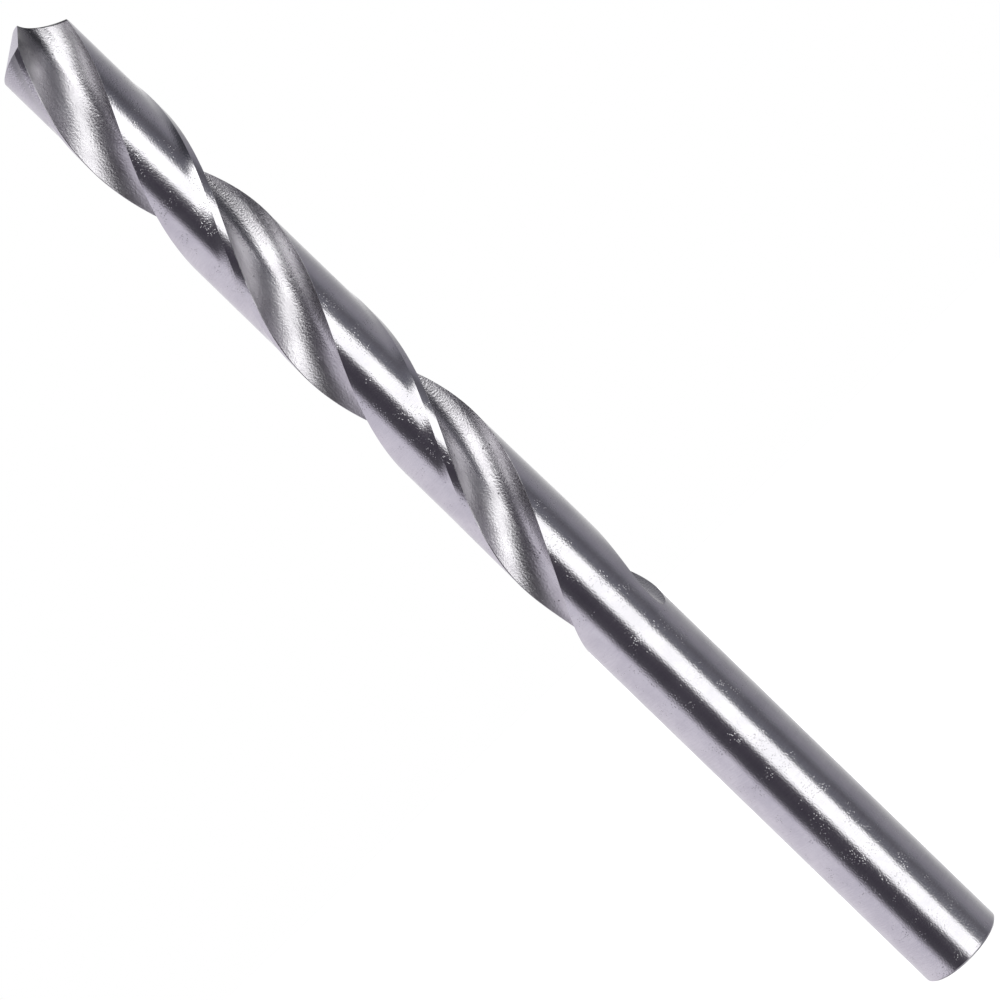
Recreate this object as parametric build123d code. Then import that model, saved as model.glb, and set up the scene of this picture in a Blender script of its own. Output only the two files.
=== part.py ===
"""Jobber-length twist drill, 9 mm, right-hand cutting, made of one piece of steel.

Frame: +Z runs along the drill's axis from the shank to the point, the origin is the centre of the
flat shank end, and the two cutting lips lie along +X and -X at the point.
A "depth" is measured down the axis from the middle of the chisel edge, which is the very tip.
Angles of a cross-section are counted from the lip on +X, as seen from the tip, in a section that
turns with the flutes.
"""
import os
from math import acos, asin, atan2, cos, degrees, hypot, radians, sin, sqrt, tan

from build123d import *

# ---- driving dimensions, mm and degrees ---------------------------------------------------------
drill_diameter = 9.0          # across the margins at the point
overall_length = 125.7
shank_diameter = 8.96         # the fluted body tapers back to this from the point
shank_length = 41.9
shank_chamfer = 0.2

# the point: two flanks, each part of a cone, meeting in the chisel edge
point_angle = 116.0
web_at_point = 1.4            # thickness of the web that is left between the flutes
cone_half_angle = 50.5        # of the cone that each flank is part of
apex_past_centre = 2.2        # the cone's apex, on the lip's own line, beyond the axis
relief_tilt = 4.2             # turns the cone about the lip, so that the flank falls away behind it

# the flutes
flute_pitch = 56.2            # length of one whole turn
heel_angle = 117.9            # from the lip round to the heel of the other land, at the point
heel_distance = 4.31          # of that heel from the axis
backing_direction = 52.2      # the way in which the flute's form backs out of the steel
backing_taper = 0.0152        # how far it backs out in each mm, which thickens the web
runout_start = 72.0           # depth at which the flute begins to run out
runout_radius = 18.6          # of the curve in which it then leaves the steel
flute_end = 83.4              # depth at which the form is clear of the steel

# the lands: a narrow margin at full diameter behind each leading edge, and a cleared body
margin_at_point = 8.5
margin_width = 11.0
margin_widens_over = 30.0
cleared_radius_at_point = 4.31
cleared_radius_far = 4.41
clearance_even_until = 62.0
clearance_end = 70.0

# the cutting forms, where they reach past the steel
land_reach = 104.0            # angle from the leading edge to just past the heel
gullet_past_heel = 38.0       # angle that the gullet's arc goes on beyond the heel
flat_length = 2.2             # of the flat beside the margin, out to the skin of the form
skin_lap = 10.0               # angle by which that skin reaches over the flat
clearance_lift = 0.01         # how far the clearance rises clear of the body at its end
overrun = 1.0

section_spacing = 2.85        # of the cross-sections along a flute
rake_spans = 7                # between the points that the leading side passes through
rake_crowding = 1.5           # draws those points together towards the web
halving_limit = 1e-9          # how closely a meeting point is found
seam_angle = 45.0             # turns the rod's seam line away from the corners of the lips

# ---- worked out from those ----------------------------------------------------------------------
drill_radius = drill_diameter / 2
shank_radius = shank_diameter / 2
body_length = overall_length - shank_length
half_web = web_at_point / 2
turn_per_mm = 360 / flute_pitch
lip_slope = 1 / tan(radians(point_angle / 2))


# ---- the point ----------------------------------------------------------------------------------
def flank_cone_axis():
    """Direction of the axis of the cone whose side holds the lip on +X."""
    half = radians(point_angle / 2)
    tilt = radians(relief_tilt)
    opening = radians(cone_half_angle)
    along_lip = Vector(sin(half), 0, -cos(half))
    square_to_lip = Vector(cos(half), 0, sin(half))
    outward = square_to_lip * cos(tilt) - Vector(0, sin(tilt), 0)
    return along_lip * cos(opening) - outward * sin(opening)


def apex_height():
    """Height of the cone's apex above the middle of the chisel edge."""
    # where the drill's axis meets the cone: (v . axis)^2 = cos(opening)^2 * (v . v)
    axis = flank_cone_axis()
    across = Vector(apex_past_centre, -half_web, 0)
    narrow = cos(radians(cone_half_angle)) ** 2
    a = axis.Z**2 - narrow
    b = -2 * axis.dot(across) * axis.Z
    c = axis.dot(across) ** 2 - narrow * across.dot(across)
    return (-b + sqrt(b * b - 4 * a * c)) / (2 * a)


def flank_cone():
    """Everything inside the cone of one flank."""
    apex = (-apex_past_centre, half_web, overall_length + apex_height())
    height = 2 * overall_length
    wide = height * tan(radians(cone_half_angle))
    upright = (Align.CENTER, Align.CENTER, Align.MIN)
    return Plane(origin=apex, z_dir=flank_cone_axis()) * Cone(0, wide, height, align=upright)


# ---- cross-sections -----------------------------------------------------------------------------
def polar(distance, angle):
    """Point of a cross-section from its distance to the axis and its angle."""
    return Vector(distance * cos(radians(angle)), distance * sin(radians(angle)))


def section_plane(depth):
    """Plane across the drill at a depth, turned with the flutes."""
    along_lip = polar(1, -turn_per_mm * depth)
    return Plane(origin=(0, 0, overall_length - depth), x_dir=along_lip, z_dir=(0, 0, 1))


def lip_depth(distance):
    """Depth at which the straight lip lies at a distance from the axis."""
    run = sqrt(max(distance**2 - half_web**2, 0))
    return (run + apex_past_centre) * lip_slope - apex_height()


def rake_angle(distance):
    """Angle of the flute's leading side, curved so that the ground point leaves a straight lip."""
    return degrees(asin(half_web / distance)) + turn_per_mm * lip_depth(distance)


def backing(depth):
    """Shift of the flute's form out of the steel: evenly, which thickens the web, then the run-out."""
    evenly = backing_taper * max(depth, 0)
    runout = max(0, depth - runout_start) ** 2 / (2 * runout_radius)
    return polar(evenly + runout, backing_direction)


def body_radius(depth):
    """Outer radius of the fluted body, which has a slight back taper from the point to the shank."""
    return drill_radius - (drill_radius - shank_radius) * max(depth, 0) / body_length


def flute_section(depth):
    """Outline of one flute: the leading side, then a round gullet that ends at the heel."""
    shares = [(i / rake_spans) ** rake_crowding for i in range(rake_spans, -1, -1)]
    distances = [hypot((drill_radius + overrun) * share, half_web) for share in shares]
    rake_points = [polar(distance, rake_angle(distance)) for distance in distances]
    outer_end = rake_points[0]
    web_point = rake_points[-1]
    web_angle = rake_angle(half_web)

    # the gullet leaves the web in line with the leading side and passes through the heel
    chord = polar(heel_distance, heel_angle) - web_point
    gullet_radius = chord.length**2 / (2 * chord.dot(polar(1, web_angle)))
    centre = web_point + polar(gullet_radius, web_angle)
    to_heel = chord - polar(gullet_radius, web_angle)
    first = web_angle + 180
    last = degrees(atan2(to_heel.Y, to_heel.X)) - gullet_past_heel
    gullet_middle = centre + polar(gullet_radius, (first + last) / 2)
    gullet_end = centre + polar(gullet_radius, last)

    shift = backing(depth)
    outward = polar(drill_diameter, backing_direction)
    directions = [rake_points[1] - outer_end, polar(1, web_angle + 90)]
    rake = Spline([point + shift for point in rake_points], tangents=directions)
    gullet = ThreePointArc(web_point + shift, gullet_middle + shift, gullet_end + shift)
    corners = [gullet_end, gullet_end + outward, outer_end + outward, outer_end]
    opening = Polyline([corner + shift for corner in corners])
    return section_plane(depth) * make_face([*rake.edges(), *gullet.edges(), *opening.edges()])


def leading_edge_angle(depth):
    """Angle at which the leading side of the flute reaches the outer radius of the body."""
    # found by halving, because the form has backed out of the steel by then
    inner = half_web
    outer = drill_radius
    while outer - inner > halving_limit:
        distance = (inner + outer) / 2
        point = polar(distance, rake_angle(distance)) + backing(depth)
        if point.length > body_radius(depth):
            outer = distance
        else:
            inner = distance
    return degrees(atan2(point.Y, point.X))


def margin_angle(depth):
    """Width of the margin, which is a little narrower at the point."""
    share = min(max(depth, 0) / margin_widens_over, 1)
    return margin_at_point + (margin_width - margin_at_point) * share


def cleared_radius(depth):
    """Radius of the cleared part of a land, which comes up to full size before the run-out."""
    share = min(max(depth, 0) / clearance_even_until, 1)
    even = cleared_radius_at_point + (cleared_radius_far - cleared_radius_at_point) * share
    fade = max(0, depth - clearance_even_until) / (clearance_end - clearance_even_until)
    return even + (body_radius(clearance_end) + clearance_lift - cleared_radius_far) * fade


def clearance_section(depth):
    """Outline of what is ground off a land: a flat beside the margin, then the cleared part."""
    radius = cleared_radius(depth)
    edge = leading_edge_angle(depth)
    flat_rise = degrees(acos(min(radius / body_radius(depth), 1)))
    touch = edge - margin_angle(depth) - flat_rise
    heel = edge - land_reach
    outside = drill_radius + overrun
    flat_top = polar(radius, touch) + polar(flat_length, touch + 90)
    flat = Line(flat_top, polar(radius, touch))
    body = ThreePointArc(polar(radius, touch), polar(radius, (touch + heel) / 2), polar(radius, heel))
    heel_side = Line(polar(radius, heel), polar(outside, heel))
    lap = touch + skin_lap
    skin = ThreePointArc(polar(outside, heel), polar(outside, (lap + heel) / 2), polar(outside, lap))
    margin_side = Line(polar(outside, lap), flat_top)
    return section_plane(depth) * make_face([flat, body, heel_side, skin, margin_side])


# ---- the drill ----------------------------------------------------------------------------------
def form_along(section, last_depth):
    """Solid that a turning cross-section sweeps from above the tip down to a depth."""
    count = round((last_depth + overrun) / section_spacing)
    step = (last_depth + overrun) / count
    return loft([section(-overrun + step * i) for i in range(count + 1)])


def both_sides(form):
    """A form and its twin, half a turn round the axis."""
    return [form, Rot(0, 0, 180) * form]


def ground_rod():
    """The shank and, above it, the body before it is fluted."""
    upright = (Align.CENTER, Align.CENTER, Align.MIN)
    shank = Cylinder(shank_radius, shank_length, align=upright)
    shank = chamfer(shank.edges().sort_by(Axis.Z)[0], shank_chamfer)
    body = Cone(shank_radius, drill_radius, body_length, align=upright)
    return Rot(0, 0, seam_angle) * (shank + Pos(0, 0, shank_length) * body)


def twist_drill():
    """The whole drill: a ground rod, its lands cleared, its flutes cut and its point ground."""
    rod = ground_rod()
    cleared = rod - both_sides(form_along(clearance_section, clearance_end))
    fluted = cleared - both_sides(form_along(flute_section, flute_end))
    ground = fluted
    for cone in both_sides(flank_cone()):
        ground = ground & cone
    return ground


drill = twist_drill().solid()
drill.label = "twist_drill"
os.makedirs("parts", exist_ok=True)
export_step(drill, "parts/twist_drill.step")
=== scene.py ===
import bmesh
import bpy
import numpy as np
from mathutils import Matrix, Vector


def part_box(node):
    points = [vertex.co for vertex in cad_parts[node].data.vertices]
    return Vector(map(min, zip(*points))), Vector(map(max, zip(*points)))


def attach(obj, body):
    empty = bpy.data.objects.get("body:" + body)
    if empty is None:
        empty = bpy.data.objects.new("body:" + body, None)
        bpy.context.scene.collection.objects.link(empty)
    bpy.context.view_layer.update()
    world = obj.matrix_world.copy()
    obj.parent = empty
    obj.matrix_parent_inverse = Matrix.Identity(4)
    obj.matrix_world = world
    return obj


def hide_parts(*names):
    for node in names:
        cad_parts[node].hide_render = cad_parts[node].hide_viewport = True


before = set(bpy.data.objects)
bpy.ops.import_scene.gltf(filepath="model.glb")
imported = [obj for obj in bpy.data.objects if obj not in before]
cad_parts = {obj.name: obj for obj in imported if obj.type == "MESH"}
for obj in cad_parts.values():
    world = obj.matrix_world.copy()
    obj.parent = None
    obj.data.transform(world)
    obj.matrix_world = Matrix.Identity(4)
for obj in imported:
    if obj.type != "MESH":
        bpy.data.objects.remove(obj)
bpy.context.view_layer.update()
print("frame loaded, nodes:", ", ".join(sorted(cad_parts)))

mm = 0.001  # lengths below are in mm and angles in degrees, and the meshes are in metres

drill = {
    "diameter": 9.0,            # across the margins at the point
    "shankDiameter": 8.96,
    "shankLength": 41.9,
    "chamfer": 0.2,
    "pointAngle": 116.0,
    "web": 1.4,                 # thickness left between the flutes at the point
    "coneHalfAngle": 50.5,      # each flank is part of a cone
    "apexPastCentre": 2.2,      # the cone's apex is on the lip's own line, beyond the axis
    "reliefTilt": 4.2,          # turns the cone about the lip, so that the flank falls away behind it
    "pitch": 56.2,              # length of one whole turn of the flutes
    "heelAngle": 117.9,         # from the lip round to the heel, at the point
    "heelDistance": 4.31,       # of that heel from the axis
    "gulletPastHeel": 38,       # angle that the gullet's arc goes on past the heel
    "backingDirection": 52.2,   # the flute's form backs out of the steel this way
    "backingTaper": 0.0152,     # and so far in each mm, which thickens the web
    "runOutStart": 72.0,        # depth from which it also curves out
    "runOutRadius": 18.6,
    "marginAtPoint": 8.5,       # angle across a margin at the point
    "marginWidth": 11.0,        # and below the depth given next
    "marginWidensOver": 30.0,
    "clearedAtPoint": 4.31,     # radius of the ground-back part of a land
    "clearedFar": 4.41,
    "clearedEvenUntil": 62.0,
    "clearedEnd": 70.0,
    "leastFlat": 0.6,           # angle kept for the flat beside the margin once the land is full again
    "edgeWidth": 0.07,          # the worn-off corner along a leading edge or a heel
    "edgeShare": 0.1,           # of the flute's own width, where that is less
}

grid = {
    "lipColumns": 36,           # from the outer corner in to the chisel edge, and from there to the heel
    "marginColumns": 6,
    "flatColumns": 4,
    "clearedColumns": 32,
    "tipDepth": 3.8,            # depth at which the rows are level again
    "tipRows": 22,
    "fluteRows": 200,
    "runOutRows": 56,
    "shankRows": 12,
    "endRings": 8,
    "creaseAngle": 8.0,         # faces that meet at more than this are shaded apart
    "weld": 2e-7,               # metres within which the surfaces' edges are one
}

search = {
    "formReach": 5.5,           # how far out the leading side of a flute's form is drawn
    "formCrowding": 1.5,        # draws its points together towards the web
    "formPoints": (800, 900),   # along the leading side and round the gullet
    "closingSteps": 1500,       # of the search for the depth at which a flute closes
    "tipTable": (-0.5, 60),     # where the table of the flute's edges starts, and its rows to tipDepth
    "groundBetween": (-0.3, 3.6),  # depths between which the ground point meets every surface
    "groundHalvings": 45,       # of the stretch between them
    "chiselSteps": 2000,        # of the search for the flank's change along a flute's top edge
    "chiselWithin": 0.1,        # of its straight line lies the curved chisel edge
    "chiselHalvings": 40,       # of the strip on both sides of that line
}

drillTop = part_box("twist_drill")[1].z / mm
halfWeb = drill["web"] / 2
turnPerMm = 360 / drill["pitch"]
lipSlope = 1 / np.tan(np.radians(drill["pointAngle"] / 2))


def direction(angle):
    # unit vector (cos, sin) across the drill
    return np.stack([np.cos(np.radians(angle)), np.sin(np.radians(angle))], -1)


def turned(points, angle):
    # (x, y) turned about the axis: x cos - y sin, x sin + y cos
    c, s = np.cos(np.radians(angle)), np.sin(np.radians(angle))
    x, y = points[..., 0], points[..., 1]
    return np.stack([x * c - y * s, x * s + y * c], -1)


def angleOf(points):
    # the angle whose tangent is y / x
    return np.degrees(np.arctan2(points[..., 1], points[..., 0]))


def coneDrop(x, y):
    # how far one flank's cone lies below its apex. A point v from the apex is on the cone where
    # (v . axis)^2 = cos(half angle)^2 (v . v), and this is solved for v's height
    half = np.radians(drill["pointAngle"] / 2)
    tilt = np.radians(drill["reliefTilt"])
    opening = np.radians(drill["coneHalfAngle"])
    alongLip = np.array([np.sin(half), 0, -np.cos(half)])
    outward = np.array([np.cos(half) * np.cos(tilt), -np.sin(tilt), np.sin(half) * np.cos(tilt)])
    axis = alongLip * np.cos(opening) - outward * np.sin(opening)
    across = x + drill["apexPastCentre"]
    back = y - halfWeb
    dot = axis[0] * across + axis[1] * back
    k = axis[2] ** 2 - np.cos(opening) ** 2
    root = np.cos(opening) * np.sqrt(dot**2 + k * (across**2 + back**2))
    return (dot * axis[2] + root) / k


apexHeight = coneDrop(0.0, 0.0)


def flankDepth(points):
    # depth of the first flank's cone below the middle of the chisel edge
    return coneDrop(points[..., 0], points[..., 1]) - apexHeight


def groundDepth(points):
    # depth of the ground point: the lower of the two cones, the second being the first turned by half
    return np.maximum(flankDepth(points), flankDepth(-points))


def lipDepth(x):
    # depth of the straight lip at x along it: (x + apex past centre) / tan(half the point angle), less
    # the height of the apex
    return (x + drill["apexPastCentre"]) * lipSlope - apexHeight


def formCurve():
    # the form that cuts a flute, as a line from outside the leading edge in to the web and round to
    # past the heel. The leading side is the straight lip y = half the web, each of its points turned
    # back by the helix from its own depth. The gullet is an arc that leaves the web in line with it
    # and passes through the heel: radius = chord^2 / (2 chord . inward)
    rakePoints, gulletPoints = search["formPoints"]
    x = search["formReach"] * np.linspace(1, 0, rakePoints) ** search["formCrowding"]
    rake = turned(np.stack([x, np.full_like(x, halfWeb)], -1), turnPerMm * lipDepth(x))
    webAngle = 90 + turnPerMm * lipDepth(0.0)
    inward = direction(webAngle)
    chord = drill["heelDistance"] * direction(drill["heelAngle"]) - rake[-1]
    radius = chord @ chord / (2 * chord @ inward)
    centre = rake[-1] + radius * inward
    pastHeel = angleOf(chord - radius * inward) - drill["gulletPastHeel"]
    angles = np.linspace(webAngle + 180, pastHeel, gulletPoints)[1:]
    return np.concatenate([rake, centre + radius * direction(angles)])


form = formCurve()
formLength = np.concatenate([[0], np.cumsum(np.hypot(*np.diff(form, axis=0).T))])


def backing(depth):
    # how far the form has backed out of the steel: taper times depth, and in the run-out also its own
    # depth^2 / (2 radius)
    depth = np.maximum(depth, 0)
    runOut = np.maximum(depth - drill["runOutStart"], 0) ** 2 / (2 * drill["runOutRadius"])
    return (drill["backingTaper"] * depth + runOut)[..., None] * direction(drill["backingDirection"])


def bodyRadius(depth):
    # straight back taper from the point to the shank
    share = np.clip(depth / (drillTop - drill["shankLength"]), 0, 1)
    return (drill["diameter"] + (drill["shankDiameter"] - drill["diameter"]) * share) / 2


def clearedRadius(depth):
    # an even rise from the point, then a steeper one up to the full radius before the run-out
    share = np.clip(depth / drill["clearedEvenUntil"], 0, 1)
    past = depth - drill["clearedEvenUntil"]
    fade = np.clip(past / (drill["clearedEnd"] - drill["clearedEvenUntil"]), 0, 1)
    even = drill["clearedAtPoint"] + (drill["clearedFar"] - drill["clearedAtPoint"]) * share
    return np.minimum(even + (drill["diameter"] / 2 - drill["clearedFar"]) * fade, bodyRadius(depth))


def formPoint(length, depth):
    # the form's point at a length along it, read between its two neighbours, plus the backing
    return np.stack([np.interp(length, formLength, form[:, i]) for i in (0, 1)], -1) + backing(depth)


def crossings(away, outer, step):
    # length along the form at which it comes inside the outer radius, looking from its start, step 1,
    # or its end, step -1: the first point inside and the one before it, and a straight line between
    inside = (away < outer[:, None])[:, ::step]
    at = np.argmax(inside, axis=1)
    at = at if step == 1 else len(form) - 1 - at
    before = np.clip(at - step, 0, len(form) - 1)
    row = np.arange(len(outer))
    # the tiny number keeps a row that never comes inside from dividing by nothing
    share = (outer - away[row, before]) / (away[row, at] - away[row, before] + 1e-12)
    found = formLength[before] + np.clip(share, 0, 1) * (formLength[at] - formLength[before])
    return np.where(inside.any(axis=1), found, formLength[np.argmin(away, axis=1)])


def closingDepth():
    # the depth at which the nearest point of the form is as far out as the body's radius
    depth = np.linspace(drill["runOutStart"], drillTop - drill["shankLength"], search["closingSteps"])
    nearest = np.linalg.norm(form[None] + backing(depth)[:, None], axis=-1).min(axis=1)
    return np.interp(0, nearest - bodyRadius(depth), depth)


def rowDepths():
    # even rows down the flutes, then closing depth - rest * share^2 in the run-out, which crowds the
    # rows towards its end
    along = np.linspace(grid["tipDepth"], drill["runOutStart"], grid["fluteRows"] + 1)
    closing = np.linspace(1, 0, grid["runOutRows"] + 1)[1:] ** 2
    return np.concatenate([along, fluteClose - (fluteClose - drill["runOutStart"]) * closing])


fluteClose = closingDepth()
levelDepths = rowDepths()
tableTop, tableRows = search["tipTable"]
tableDepths = np.concatenate([np.linspace(tableTop, grid["tipDepth"], tableRows)[:-1], levelDepths])
formAway = np.linalg.norm(form[None] + backing(tableDepths)[:, None], axis=-1)
enters = crossings(formAway, bodyRadius(tableDepths), 1)
leaves = crossings(formAway, clearedRadius(tableDepths), -1)


def wornWidth(depth):
    # the worn corner of an edge: its full width, or a share of the flute's where that is less, so that it
    # narrows to nothing where the flute closes
    fluteWidth = np.interp(depth, tableDepths, leaves - enters)
    return np.minimum(drill["edgeWidth"], drill["edgeShare"] * fluteWidth)


def lengthAlong(share, depth):
    # length along the form from the leading edge to the heel: start + (end - start) * share
    start = np.interp(depth, tableDepths, enters) + wornWidth(depth)
    end = np.interp(depth, tableDepths, leaves) - wornWidth(depth)
    return start + (end - start) * share


def fluteSurface(share, depth):
    # the form's point at that length, turned by the helix
    return turned(formPoint(lengthAlong(share, depth), depth), -turnPerMm * depth)


def landSurface(part, share, depth):
    # part 0 is the margin, 1 the flat beside it and 2 the cleared rest, and their angles run back from
    # the leading edge to the heel of the other flute. The flat is the line r = cleared / cos(angle)
    outer, cleared = bodyRadius(depth), clearedRadius(depth)
    worn = np.degrees(wornWidth(depth) / outer)
    lead = angleOf(formPoint(np.interp(depth, tableDepths, enters), depth))
    heel = angleOf(formPoint(np.interp(depth, tableDepths, leaves), depth)) - 180
    widening = np.clip(depth / drill["marginWidensOver"], 0, 1)
    margin = drill["marginAtPoint"] + (drill["marginWidth"] - drill["marginAtPoint"]) * widening
    rise = np.degrees(np.arccos(cleared / outer))
    flatEnd = lead - margin - np.maximum(rise, drill["leastFlat"])
    stops = np.stack([lead - worn, lead - margin, flatEnd, heel + worn])
    first = np.choose(part, stops[:-1])
    last = np.choose(part, stops[1:])
    angle = first + (last - first) * share
    past = np.radians(np.maximum(angle - (lead - margin - rise), 0))
    radius = np.where(part == 0, outer, np.minimum(cleared / np.cos(past), outer))
    return turned(radius[..., None] * direction(angle), -turnPerMm * depth)


def groundOff(surface, columns):
    # the depth at which each column of a surface meets the ground point, found by halving
    low, high = (np.full(columns, depth) for depth in search["groundBetween"])
    for _ in range(search["groundHalvings"]):
        middle = (low + high) / 2
        above = middle < groundDepth(surface(middle))
        low, high = np.where(above, middle, low), np.where(above, high, middle)
    return (low + high) / 2


def columnDepths(top):
    # top + (first level row - top) * share in the tip, then the level rows
    fall = np.linspace(0, 1, grid["tipRows"] + 1)[:-1, None]
    tip = top + (grid["tipDepth"] - top) * fall
    return np.concatenate([tip, np.repeat(levelDepths[:, None], len(top), axis=1)])


def chiselShare():
    # where across the flute the depths of the two flanks change places along its top edge
    share = np.linspace(0, 1, search["chiselSteps"])
    points = fluteSurface(share, groundOff(lambda depth: fluteSurface(share, depth), len(share)))
    lead = flankDepth(points) - flankDepth(-points)
    at = np.argmax(lead < 0)
    return np.interp(0, -lead[at - 1:at + 1], share[at - 1:at + 1])


def chiselEdge(corner, count):
    # from the chisel edge's corner through its middle to the other corner: the line between them,
    # each point moved square to it until both flanks have the same depth there
    line = corner * np.linspace(1, -1, count)[:, None]
    square = np.array([-corner[1], corner[0]]) / np.hypot(*corner)
    within = search["chiselWithin"]
    low, high = np.full(count, -within), np.full(count, within)
    aside = line + within * square
    rising = flankDepth(aside) > flankDepth(-aside)
    for _ in range(search["chiselHalvings"]):
        middle = (low + high) / 2
        points = line + middle[:, None] * square
        near = flankDepth(points) > flankDepth(-points)
        low, high = np.where(near == rising, low, middle), np.where(near == rising, middle, high)
    return line + ((low + high) / 2)[:, None] * square


def flankPatch(lip, heel, chisel, land):
    # four-sided patch: lip to heel and chisel edge to land blended in straight lines, less the blend of
    # the corners, and then dropped on to the flank's cone
    a = np.linspace(0, 1, len(lip))[:, None, None]
    b = np.linspace(0, 1, len(land))[None, :, None]
    ruled = (1 - b) * lip[:, None] + b * heel[:, None] + (1 - a) * chisel[None] + a * land[None]
    corners = (1 - a) * ((1 - b) * lip[0] + b * heel[0]) + a * ((1 - b) * lip[-1] + b * heel[-1])
    flat = ruled - corners
    return np.concatenate([flat, (drillTop - flankDepth(flat))[..., None]], -1)


def halfTurn(points):
    # (x, y, z) to (-x, -y, z)
    return points * [-1, -1, 1]


def withHeight(points, depth):
    # (x, y) at a depth to (x, y, the drill's top - depth)
    return np.concatenate([points, (drillTop - depth)[..., None]], -1)


def drillSurfaces():
    # (points, uv, material) of each surface, and of its twin half a turn round. The uv are mm: on a
    # flute along the form from the chisel edge and down from the ground rim, on the rest x and y
    chisel = chiselShare()
    toCentre = np.linspace(0, 1, grid["lipColumns"] + 1)
    fluteShare = np.concatenate([chisel * toCentre, chisel + (1 - chisel) * toCentre[1:]])
    fluteTop = groundOff(lambda depth: fluteSurface(fluteShare, depth), len(fluteShare))
    fluteDepth = columnDepths(fluteTop)
    flute = withHeight(fluteSurface(fluteShare, fluteDepth), fluteDepth)
    fluteLength = lengthAlong(fluteShare, fluteDepth)
    fluteUv = np.stack([fluteLength - fluteLength[0, grid["lipColumns"]], fluteDepth - fluteTop], -1)

    counts = [grid["marginColumns"], grid["flatColumns"], grid["clearedColumns"]]
    landPart = np.concatenate([[0], np.repeat([0, 1, 2], counts)])
    landShare = np.concatenate([[0]] + [np.arange(1, count + 1) / count for count in counts])
    landTop = groundOff(lambda depth: landSurface(landPart, landShare, depth), len(landPart))
    landDepth = columnDepths(landTop)
    land = withHeight(landSurface(landPart, landShare, landDepth), landDepth)
    # a flute's last row is one point, and there the worn corners are closed too
    flute[-1] = flute[-1, grid["lipColumns"]]
    edges = np.concatenate([flute[:, :1], land, halfTurn(flute)[:, -1:]], axis=1)
    edges[-1, 1], edges[-1, -2] = edges[-1, 0], edges[-1, -1]

    # the shank and its end go on from that row, in the directions of its points
    closed = edges[-1, :, :2] / np.linalg.norm(edges[-1, :, :2], axis=-1, keepdims=True)
    shankDepth = np.linspace(fluteClose, drillTop - drill["chamfer"], grid["shankRows"])[:, None]
    shankDepth = np.broadcast_to(shankDepth, (grid["shankRows"], len(closed)))
    shank = withHeight(closed * bodyRadius(shankDepth)[..., None], shankDepth)
    shankRadius = drill["shankDiameter"] / 2
    rings = (shankRadius - drill["chamfer"]) * np.linspace(1, 0, grid["endRings"] + 1)
    ringRadii = np.concatenate([[shankRadius], rings])[:, None]
    ringDepths = drillTop - np.concatenate([[drill["chamfer"]], 0 * rings])[:, None]
    ringDepths = np.broadcast_to(ringDepths, (len(ringRadii), len(closed)))
    endFace = withHeight(closed * ringRadii[..., None], ringDepths)

    # a flank is bounded by its lip, the other flute's heel side, the chisel edge and the land
    lip = flute[0, grid["lipColumns"]::-1, :2]
    heel = halfTurn(flute[0, grid["lipColumns"]:])[:, :2]
    flank = flankPatch(lip, heel, chiselEdge(lip[0], edges.shape[1]), edges[0, :, :2])

    made = []
    for points, material in (
        (edges[:, :2], "wornEdge"), (edges[:, 1:-1], "landSteel"), (edges[:, -2:], "wornEdge"),
        (flute, "fluteSteel"), (shank, "landSteel"), (endFace, "endSteel"), (flank, "pointSteel"),
    ):
        uv = fluteUv if material == "fluteSteel" else points[..., :2]
        made += [(points, uv, material), (halfTurn(points), uv, material)]
    return made


def steelPiece(name, surfaces, materials):
    # all the surfaces as one mesh: their edges meet point for point and are welded
    names = list(materials)
    points = np.concatenate([surface[0].reshape(-1, 3) for surface in surfaces]) * mm
    uv = np.concatenate([surface[1].reshape(-1, 2) for surface in surfaces])
    faces, kinds, offset = [], [], 0
    for surface, _, kind in surfaces:
        index = offset + np.arange(surface[..., 0].size).reshape(surface.shape[:2])
        corners = [index[:-1, :-1], index[1:, :-1], index[1:, 1:], index[:-1, 1:]]
        quads = np.stack(corners, -1).reshape(-1, 4)
        faces.append(quads)
        kinds.append(np.full(len(quads), names.index(kind)))
        offset += index.size
    faces = np.concatenate(faces)
    mesh = bpy.data.meshes.new(name)
    mesh.from_pydata(points, [], faces)
    along = mesh.uv_layers.new(name="along")
    along.data.foreach_set("uv", uv[faces.ravel()].astype(np.float32).ravel())
    mesh.polygons.foreach_set("material_index", np.concatenate(kinds).astype(np.int32))
    mesh.polygons.foreach_set("use_smooth", np.ones(len(faces), bool))
    for material in materials.values():
        mesh.materials.append(material)
    shape = bmesh.new()
    shape.from_mesh(mesh)
    bmesh.ops.remove_doubles(shape, verts=shape.verts, dist=grid["weld"])
    bmesh.ops.recalc_face_normals(shape, faces=shape.faces)
    openEdges = sum(not edge.is_manifold for edge in shape.edges)
    shape.to_mesh(mesh)
    shape.free()
    mesh.set_sharp_from_angle(angle=np.radians(grid["creaseAngle"]))
    piece = bpy.data.objects.new(name, mesh)
    bpy.context.scene.collection.objects.link(piece)
    triangles = sum(len(polygon.vertices) - 2 for polygon in mesh.polygons)
    print(f"{name}: {triangles} triangles, {openEdges} open edges")
    return piece


class Wire:
    # one output of a node. A sum written with it adds the Math node that works it out
    def __init__(self, tree, socket):
        self.tree, self.socket = tree, socket

    def math(self, operation, *others):
        sockets = dict(enumerate((self,) + others))
        return self.tree.add("Math", {"operation": operation}, sockets)[0]

    def __add__(self, other):
        return self.math("ADD", other)

    def __sub__(self, other):
        return self.math("SUBTRACT", other)

    def __rsub__(self, other):
        return (self * -1.0) + other

    def __mul__(self, other):
        return self.math("MULTIPLY", other)

    def __lt__(self, other):
        return self.math("LESS_THAN", other)

    __radd__ = __add__
    __rmul__ = __mul__


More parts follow.
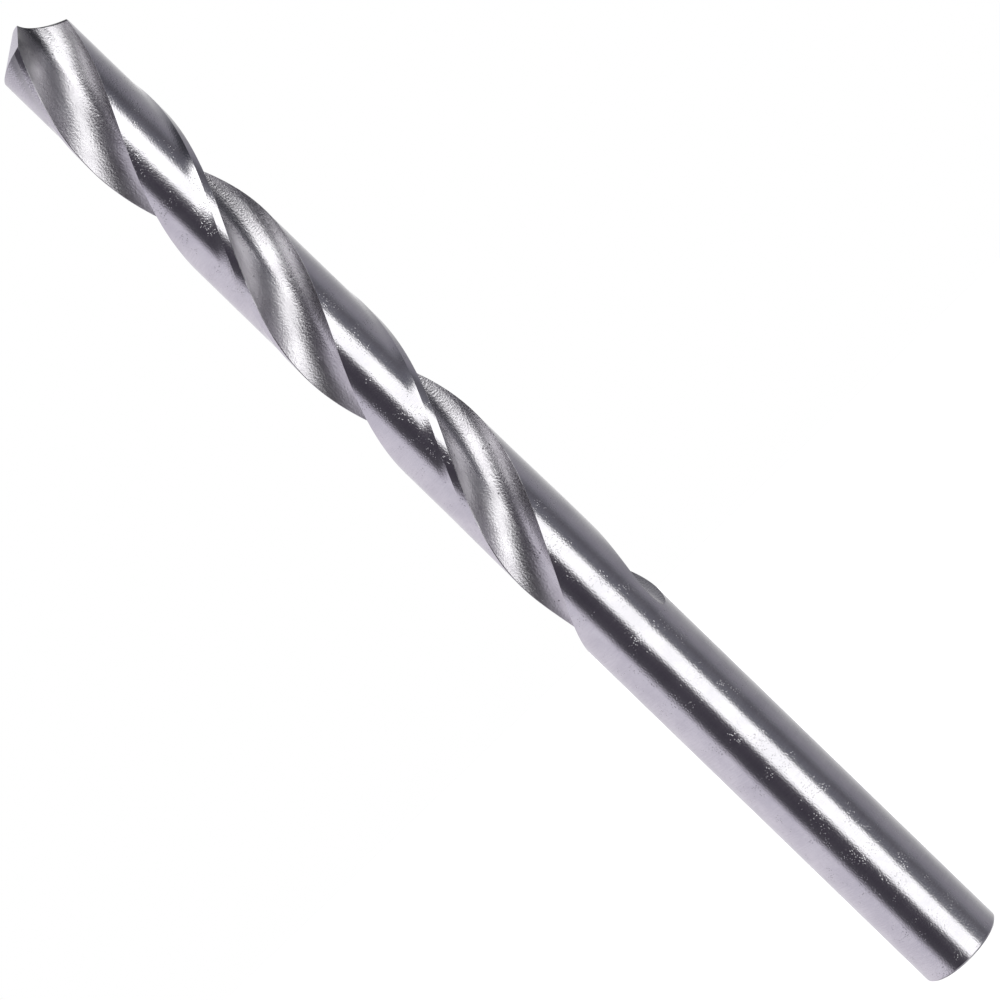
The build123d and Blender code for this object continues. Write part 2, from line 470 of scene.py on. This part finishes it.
class Tree:
    # a material's or a world's nodes, emptied to start with
    def __init__(self, owner):
        owner.use_nodes = True
        self.nodes, self.links = owner.node_tree.nodes, owner.node_tree.links
        self.nodes.clear()

    def add(self, kind, settings=None, sockets=None):
        # a node with its settings first, then the values or wires of its sockets. Gives its outputs
        node = self.nodes.new("ShaderNode" + kind)
        for name, value in (settings or {}).items():
            if name == "stops":
                fillRamp(node.color_ramp, value)
            else:
                setattr(node, name, value)
        for name, value in (sockets or {}).items():
            if isinstance(value, Wire):
                self.links.new(value.socket, node.inputs[name])
            else:
                node.inputs[name].default_value = value
        return Outputs(self, node)


class Outputs:
    # a node's outputs as wires, by name or by number
    def __init__(self, tree, node):
        self.tree, self.node = tree, node

    def __getitem__(self, name):
        return Wire(self.tree, self.node.outputs[name])


def fillRamp(ramp, stops):
    # stops are (place, colour), and the ramp starts with two of its own
    for i, (place, colour) in enumerate(stops):
        stop = ramp.elements[i] if i < 2 else ramp.elements.new(place)
        stop.position = place
        stop.color = (*colour, 1)


finishes = {
    # colours from and to, least roughness and how far it goes up, grains to a mm and their depth, depth of
    # the wheel's strokes, and pits: how many to a mm, their radius as a share of that spacing, their depth
    # and how dark they are. Lengths are in mm. Places across a flute count along its form from the chisel
    # edge, up towards the heel and below zero towards the lip
    "landSteel": {
        "colours": ((0.61, 0.60, 0.63), (0.71, 0.70, 0.72)), "roughness": (0.10, 0.05),
        "grain": (6.5, 0.011), "strokes": 0.0008, "pits": (4.4, 0.36, 0.010, 0.12),
    },
    "fluteSteel": {
        "colours": ((0.53, 0.515, 0.54), (0.71, 0.70, 0.72)), "roughness": (0.24, 0.08),
        "grain": (5.2, 0.034), "strokes": 0.004, "pits": (1.3, 0.14, 0.03, 0.7),
        "rim": (0.10, 0.20),    # depth of the painted shadow along the edge under the flank, and what the grain adds to it
        "rimSide": (0.1, 0.5),  # places across the flute between which the painted shadow along the edge starts
        "rimWidens": (1.9, 3.1),  # and between which it comes to that depth
        "tint": (2.4, 4.6),     # depths between which the painted shade below the lip fades out
        "tintSide": (0.9, 1.7),  # and places across the flute between which it ends
        "coarse": (-0.7, 0.4, 0.05),  # rougher by so much on the lip's side of these two places
        "lean": (-1.3, 1.7, 0.11),  # between these two places the wheel left the steel leaning so much
    },
    "pointSteel": {
        "colours": ((0.80, 0.79, 0.83), (0.88, 0.87, 0.90)), "roughness": (0.24, 0.08),
        "grain": (5.0, 0.004), "strokes": 0.003, "pits": (0.9, 0.08, 0.015, 0.7),
    },
    "endSteel": {
        "colours": ((0.40, 0.39, 0.41), (0.54, 0.53, 0.55)), "roughness": (0.26, 0.10),
        "grain": (4.0, 0.004), "strokes": 0.006, "pits": (1.0, 0.08, 0.02, 0.7),
    },
    # colours go from nearly black to the land's grey, so these strips along the leading edges and heels
    # render darker than the land
    "wornEdge": {
        "colours": ((0.12, 0.11, 0.13), (0.62, 0.61, 0.63)), "roughness": (0.36, 0.20),
        "grain": (6.0, 0.014), "strokes": 0.0, "pits": (2.0, 0.10, 0.02, 0.7),
    },
}


marks = {
    # set once for all the finishes. Lengths are in mm
    "clouds": 0.35,             # patches of colour to a mm
    "colourShares": (0.5, 0.3, 0.2),    # of the clouds, the strokes and the grain in the colour
    "colourBetween": (0.35, 0.65),      # their sums at which it is the first colour and the second
    "glossBetween": (0.3, 0.7),         # and the same for the roughness
    "pitPatches": 0.6,          # patches with pits to a mm
    "patchEdge": (0.5, 0.62),   # noise below which there are no pits, and above which they are whole
    "pitEdge": 0.4,             # a pit's flat bottom, as a share of its radius
    "pitGloss": 0.2,            # what a pit adds to the roughness
    "burnt": (0.06, 0.06, 0.065),       # the colour that pits and the painted shade on the flutes go towards
    "rimDark": 0.9,             # how far the painted shadow along the rim goes towards it
    "tintDark": 0.62,           # and the painted shade below the lip
    "tintCloud": 0.8,           # how far the clouds move the end of the painted shade below the lip
    "alongFlute": (9.0, 0.35, 1.0),     # strokes to a mm across and along a flute
    "roundLand": (0.5, 0.5, 11.0),      # and in x, y and z on a land
    "rings": 9.0,               # to a mm out from the axis
    "blend": 1.0,               # over which the lean goes into what lies beside it
}


def inMm(tree):
    # object coordinates in mm
    place = tree.add("TexCoord")["Object"]
    return tree.add("VectorMath", {"operation": "SCALE"}, {0: place, "Scale": 1 / mm})["Vector"]


def stretched(tree, vector, scale):
    # each of the vector's three numbers times its own scale
    return tree.add("VectorMath", {"operation": "MULTIPLY"}, {0: vector, 1: scale})["Vector"]


def noise(tree, vector, scale, detail=2.0):
    # soft noise from 0 to 1, with scale lumps to each unit of the vector
    return tree.add("TexNoise", sockets={"Vector": vector, "Scale": scale, "Detail": detail})["Fac"]


def strokesOf(tree, name):
    # the marks of the wheel are noise that is stretched along a flute, or round a land and the shank, or
    # that depends only on the distance from the axis, which leaves rings on the point and the end
    if name == "fluteSteel":
        along = tree.add("UVMap", {"uv_map": "along"})["UV"]
        strokes = stretched(tree, along, marks["alongFlute"])
    elif name in ("landSteel", "wornEdge"):
        strokes = stretched(tree, inMm(tree), marks["roundLand"])
    else:
        flat = stretched(tree, inMm(tree), (1.0, 1.0, 0.0))
        away = tree.add("VectorMath", {"operation": "LENGTH"}, {0: flat})["Value"]
        strokes = tree.add("CombineXYZ", sockets={"X": away * marks["rings"]})["Vector"]
    return noise(tree, strokes, 1.0, detail=3.0)


def between(tree, value, low, high):
    # 0 below low and 1 above high, with a smooth step
    settings = {"interpolation_type": "SMOOTHSTEP"}
    return tree.add("MapRange", settings, {"Value": value, "From Min": low, "From Max": high})["Result"]


def mixed(tree, factor, first, second):
    # colour: first * (1 - factor) + second * factor
    settings = {"data_type": "RGBA"}
    return tree.add("Mix", settings, {"Factor": factor, 6: first, 7: second})[2]


def pitsOf(tree, look, place):
    # 1 at the bottom of a pit and 0 beside it: near the middle of a cell, and only where the patches are
    perMm, radius = look["pits"][:2]
    cell = tree.add("TexVoronoi", {"feature": "F1"}, {"Vector": place, "Scale": perMm})["Distance"]
    patch = between(tree, noise(tree, place, marks["pitPatches"]), *marks["patchEdge"])
    return (1 - between(tree, cell, marks["pitEdge"] * radius, radius)) * patch


def paintedShadeOf(tree, look, across, cloud, fine):
    # how dark a flute's painted shade is: the larger of the painted shadow along the rim, down to a width
    # that grows towards the heel, and the painted shade below the lip, which fades with depth and towards
    # the heel
    heelSide = between(tree, across["X"], *look["rimSide"])
    width = between(tree, across["X"], *look["rimWidens"]) * look["rim"][0] + fine * look["rim"][1]
    rim = (across["Y"] < width) * heelSide
    lipSide = 1 - between(tree, across["X"], *look["tintSide"])
    depth = across["Y"] + cloud * marks["tintCloud"]
    tint = (1 - between(tree, depth, *look["tint"])) * lipSide
    return (rim * marks["rimDark"]).math("MAXIMUM", tint * marks["tintDark"])


def makeFinish(name):
    # a metal. Its colour goes between two by the weighted sum of clouds, strokes and grain, darkened where
    # it is pitted and, on a flute, where shade is painted, its roughness by strokes and grain, and its
    # height is their sum less the pits
    look = finishes[name]
    material = bpy.data.materials.new(name)
    tree = Tree(material)
    place = inMm(tree)
    cloud = noise(tree, place, marks["clouds"], detail=3.0)
    grainsPerMm, grainDepth = look["grain"]
    fine = noise(tree, place, grainsPerMm)
    strokes = strokesOf(tree, name)
    pit = pitsOf(tree, look, place)
    pitDepth, pitDark = look["pits"][2:]

    ofCloud, ofStrokes, ofGrain = marks["colourShares"]
    share = cloud * ofCloud + strokes * ofStrokes + fine * ofGrain
    low, high = look["colours"]
    colour = mixed(tree, between(tree, share, *marks["colourBetween"]), (*low, 1), (*high, 1))
    dark = pit * pitDark
    least, spread = look["roughness"]
    gloss = between(tree, strokes * 0.5 + fine * 0.5, *marks["glossBetween"])
    roughness = gloss * spread + (pit * marks["pitGloss"] + least)
    height = (fine - 0.5) * grainDepth + (strokes - 0.5) * look["strokes"] - pit * pitDepth

    if name == "fluteSteel":
        along = tree.add("UVMap", {"uv_map": "along"})["UV"]
        across = tree.add("SeparateXYZ", sockets={"Vector": along})
        # painted shade: the painted shadow along the flute's top edge and the painted shade below the lip
        dark = dark.math("MAXIMUM", paintedShadeOf(tree, look, across, cloud, fine))
        first, last, more = look["coarse"]
        roughness = roughness + (1 - between(tree, across["X"], first, last)) * more
        # the lean is a slope times the length between its two places, with both ends rounded off
        first, last, slope = look["lean"]
        inside = (across["X"] - first).math("SMOOTH_MAX", 0.0, marks["blend"])
        height = height + inside.math("SMOOTH_MIN", last - first, marks["blend"]) * slope

    # the colour goes towards the dark colour in the pits and where shade is painted on a flute
    pittedAndShaded = mixed(tree, dark, colour, (*marks["burnt"], 1))
    normal = tree.add("Bump", sockets={"Height": height * mm, "Strength": 1.0, "Distance": 1.0})["Normal"]
    steel = tree.add("BsdfPrincipled", sockets={
        "Base Color": pittedAndShaded, "Roughness": roughness, "Metallic": 1.0, "Normal": normal})["BSDF"]
    tree.add("OutputMaterial", sockets={"Surface": steel})
    return material


def makeFinishes():
    # one material for each entry of the finishes, by its name
    made = {name: makeFinish(name) for name in finishes}
    print("finishes made:", ", ".join(made))
    return made


piece = steelPiece("twist_drill_steel", drillSurfaces(), makeFinishes())
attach(piece, "root")
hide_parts("twist_drill")


view = {
    "azimuth": 19.6,       # of the camera round the drill, from +X
    "distance": 205.0,     # from the drill's axis
    "height": 66.5,
    "roll": 44.07,         # between the drill's axis and the picture's side
    "lens": 77.4,
    "sensor": 36,
    "shift": (0.0401, -0.0380),
    "clip": (0.01, 10),    # metres
}


def makeCamera():
    # the camera looks square at the axis and is rolled about its own line of sight: its right is
    # side sin(roll) - up cos(roll) and its top is side cos(roll) + up sin(roll)
    ahead = np.radians(view["azimuth"])
    roll = np.radians(view["roll"])
    back = Vector((np.cos(ahead), np.sin(ahead), 0))
    side = Vector((-np.sin(ahead), np.cos(ahead), 0))
    up = Vector((0, 0, 1))
    right = side * np.sin(roll) - up * np.cos(roll)
    top = side * np.cos(roll) + up * np.sin(roll)
    camera = bpy.data.objects.new("camera", bpy.data.cameras.new("camera"))
    turn = Matrix((right, top, back)).transposed().to_4x4()
    place = back * view["distance"] * mm + up * view["height"] * mm
    camera.matrix_world = Matrix.Translation(place) @ turn
    camera.data.lens = view["lens"]
    camera.data.sensor_width = view["sensor"]
    camera.data.shift_x, camera.data.shift_y = view["shift"]
    camera.data.clip_start, camera.data.clip_end = view["clip"]
    bpy.context.scene.collection.objects.link(camera)
    bpy.context.scene.camera = camera


makeCamera()
print("camera made")


studio = {
    # bearing round the drill from the camera, and the colour of the light that comes from there. The
    # light changes from one ring to the next between the two sines of height given below them
    "level": [
        (-180, 0.84, 0.82, 0.86), (-120, 0.83, 0.79, 0.87), (-66, 0.76, 0.73, 0.82),
        (-57, 0.38, 0.36, 0.41), (-50, 0.09, 0.085, 0.10), (-30, 0.065, 0.058, 0.075),
        (-10, 0.085, 0.078, 0.095), (-4, 0.24, 0.23, 0.25), (2.5, 1.55, 1.55, 1.55),
        (36, 1.55, 1.55, 1.55), (41, 0.27, 0.27, 0.29), (49, 0.19, 0.19, 0.22),
        (70, 0.135, 0.13, 0.15), (80, 0.20, 0.20, 0.225), (90, 0.28, 0.27, 0.31),
        (120, 0.38, 0.375, 0.40), (132, 0.48, 0.48, 0.49), (150, 0.68, 0.68, 0.68),
        (180, 0.84, 0.82, 0.86)],
    "raised": [
        (-180, 0.68, 0.66, 0.71), (-140, 0.66, 0.64, 0.69), (-115, 0.56, 0.54, 0.59),
        (-92, 0.34, 0.33, 0.36), (-70, 0.20, 0.19, 0.22), (-55, 0.09, 0.085, 0.10),
        (-26, 0.09, 0.085, 0.10), (-16, 0.40, 0.40, 0.42), (-8, 2.1, 2.1, 2.1), (40, 2.1, 2.1, 2.1),
        (45, 1.2, 1.2, 1.2), (50, 0.35, 0.35, 0.37), (56, 0.10, 0.10, 0.12), (66, 0.05, 0.05, 0.06),
        (98, 0.06, 0.06, 0.07), (114, 0.26, 0.26, 0.28), (130, 0.40, 0.40, 0.42), (150, 0.52, 0.51, 0.54),
        (180, 0.68, 0.66, 0.71)],
    "high": [
        (-180, 0.60, 0.58, 0.63), (-110, 0.52, 0.50, 0.55), (-85, 0.80, 0.79, 0.82),
        (-60, 1.1, 1.1, 1.1), (-42, 1.5, 1.5, 1.5), (-22, 2.1, 2.1, 2.1), (-8, 2.1, 2.1, 2.1),
        (4, 1.3, 1.3, 1.3), (12, 0.35, 0.35, 0.37), (20, 0.05, 0.05, 0.06), (70, 0.05, 0.05, 0.06),
        (94, 0.22, 0.22, 0.24), (130, 0.32, 0.32, 0.34), (180, 0.60, 0.58, 0.63)],
    "low": [
        (-180, 0.36, 0.34, 0.38), (-140, 0.47, 0.45, 0.50), (-110, 0.32, 0.30, 0.34),
        (-75, 0.30, 0.29, 0.32), (-62, 0.19, 0.18, 0.20), (-50, 0.06, 0.057, 0.065),
        (-34, 0.04, 0.038, 0.044), (-24, 0.07, 0.067, 0.075), (-14, 0.22, 0.22, 0.23),
        (-5, 0.9, 0.9, 0.9), (2, 2.1, 2.1, 2.1), (33, 2.1, 2.1, 2.1), (42, 1.1, 1.1, 1.1),
        (55, 0.60, 0.60, 0.61), (68, 0.26, 0.26, 0.27), (90, 0.21, 0.21, 0.23), (120, 0.35, 0.34, 0.37),
        (180, 0.36, 0.34, 0.38)],
    "raisedFrom": (0.215, 0.33),
    "highFrom": (0.60, 0.70),
    "lowFrom": (0.32, 0.44),
    "backdrop": (158, 172),     # bearings beyond which the white backdrop shows in the steel
}


def makeWorld():
    # four rings of soft light, blended by height. Their place is the bearing, atan2(y, x) in the camera's
    # turn, counted from 0 to 1. The white backdrop shows to the camera, and to the steel where it is level
    # and behind the drill
    world = bpy.data.worlds.new("studio")
    bpy.context.scene.world = world
    tree = Tree(world)
    way = tree.add("TexCoord")["Generated"]
    turn = tree.add("VectorRotate", {"rotation_type": "Z_AXIS"}, {
        "Vector": way, "Angle": -np.radians(view["azimuth"])})["Vector"]
    parts = tree.add("SeparateXYZ", sockets={"Vector": turn})
    bearing = parts["Y"].math("ARCTAN2", parts["X"]) * (1 / (2 * np.pi)) + 0.5
    raised = between(tree, parts["Z"], *studio["raisedFrom"])
    shares = {
        "raised": raised, "high": between(tree, parts["Z"], *studio["highFrom"]),
        "low": between(tree, parts["Z"] * -1.0, *studio["lowFrom"])}

    def ring(name):
        # the colour at this bearing, in straight lines between the ring's stops
        stops = [((at + 180) / 360, colour) for at, *colour in studio[name]]
        return tree.add("ValToRGB", {"stops": stops}, {"Fac": bearing})["Color"]

    light = ring("level")
    for name, share in shares.items():
        light = mixed(tree, share, light, ring(name))
    behind = between(tree, (bearing - 0.5).math("ABSOLUTE"), *(at / 360 for at in studio["backdrop"]))
    rays = tree.add("LightPath")
    white = rays["Is Camera Ray"] + rays["Is Glossy Ray"] * behind * (1 - raised)
    studioLight = tree.add("Background", sockets={"Color": light, "Strength": 1.0})["Background"]
    backdrop = tree.add("Background", sockets={"Color": (1, 1, 1, 1), "Strength": 1.0})["Background"]
    both = tree.add("MixShader", sockets={"Fac": white, 1: studioLight, 2: backdrop})["Shader"]
    tree.add("OutputWorld", sockets={"Surface": both})


ground = {
    "halfSize": 400.0,
    "colour": (0.85, 0.85, 0.85, 1),
    "lift": 0.80,               # brings the lit floor up to white for the camera, and leaves its shadow
}


def makeFloor():
    # a square at the height of the drill's flat end, of matt paint plus a glow that only the camera sees
    reach = ground["halfSize"] * mm
    corners = reach * np.array([[-1, -1, 0], [1, -1, 0], [1, 1, 0], [-1, 1, 0]])
    mesh = bpy.data.meshes.new("floor")
    mesh.from_pydata(corners, [], [(0, 1, 2, 3)])
    material = bpy.data.materials.new("floorPaint")
    tree = Tree(material)
    paint = tree.add("BsdfDiffuse", sockets={"Color": ground["colour"]})["BSDF"]
    seen = tree.add("LightPath")["Is Camera Ray"] * ground["lift"]
    glow = tree.add("Emission", sockets={"Color": (1, 1, 1, 1), "Strength": seen})["Emission"]
    both = tree.add("AddShader", sockets={0: paint, 1: glow})["Shader"]
    tree.add("OutputMaterial", sockets={"Surface": both})
    mesh.materials.append(material)
    floor = bpy.data.objects.new("floor", mesh)
    bpy.context.scene.collection.objects.link(floor)
    floor.visible_glossy = False


makeWorld()
makeFloor()
bpy.context.scene.view_settings.view_transform = "Standard"
print("light and floor made")
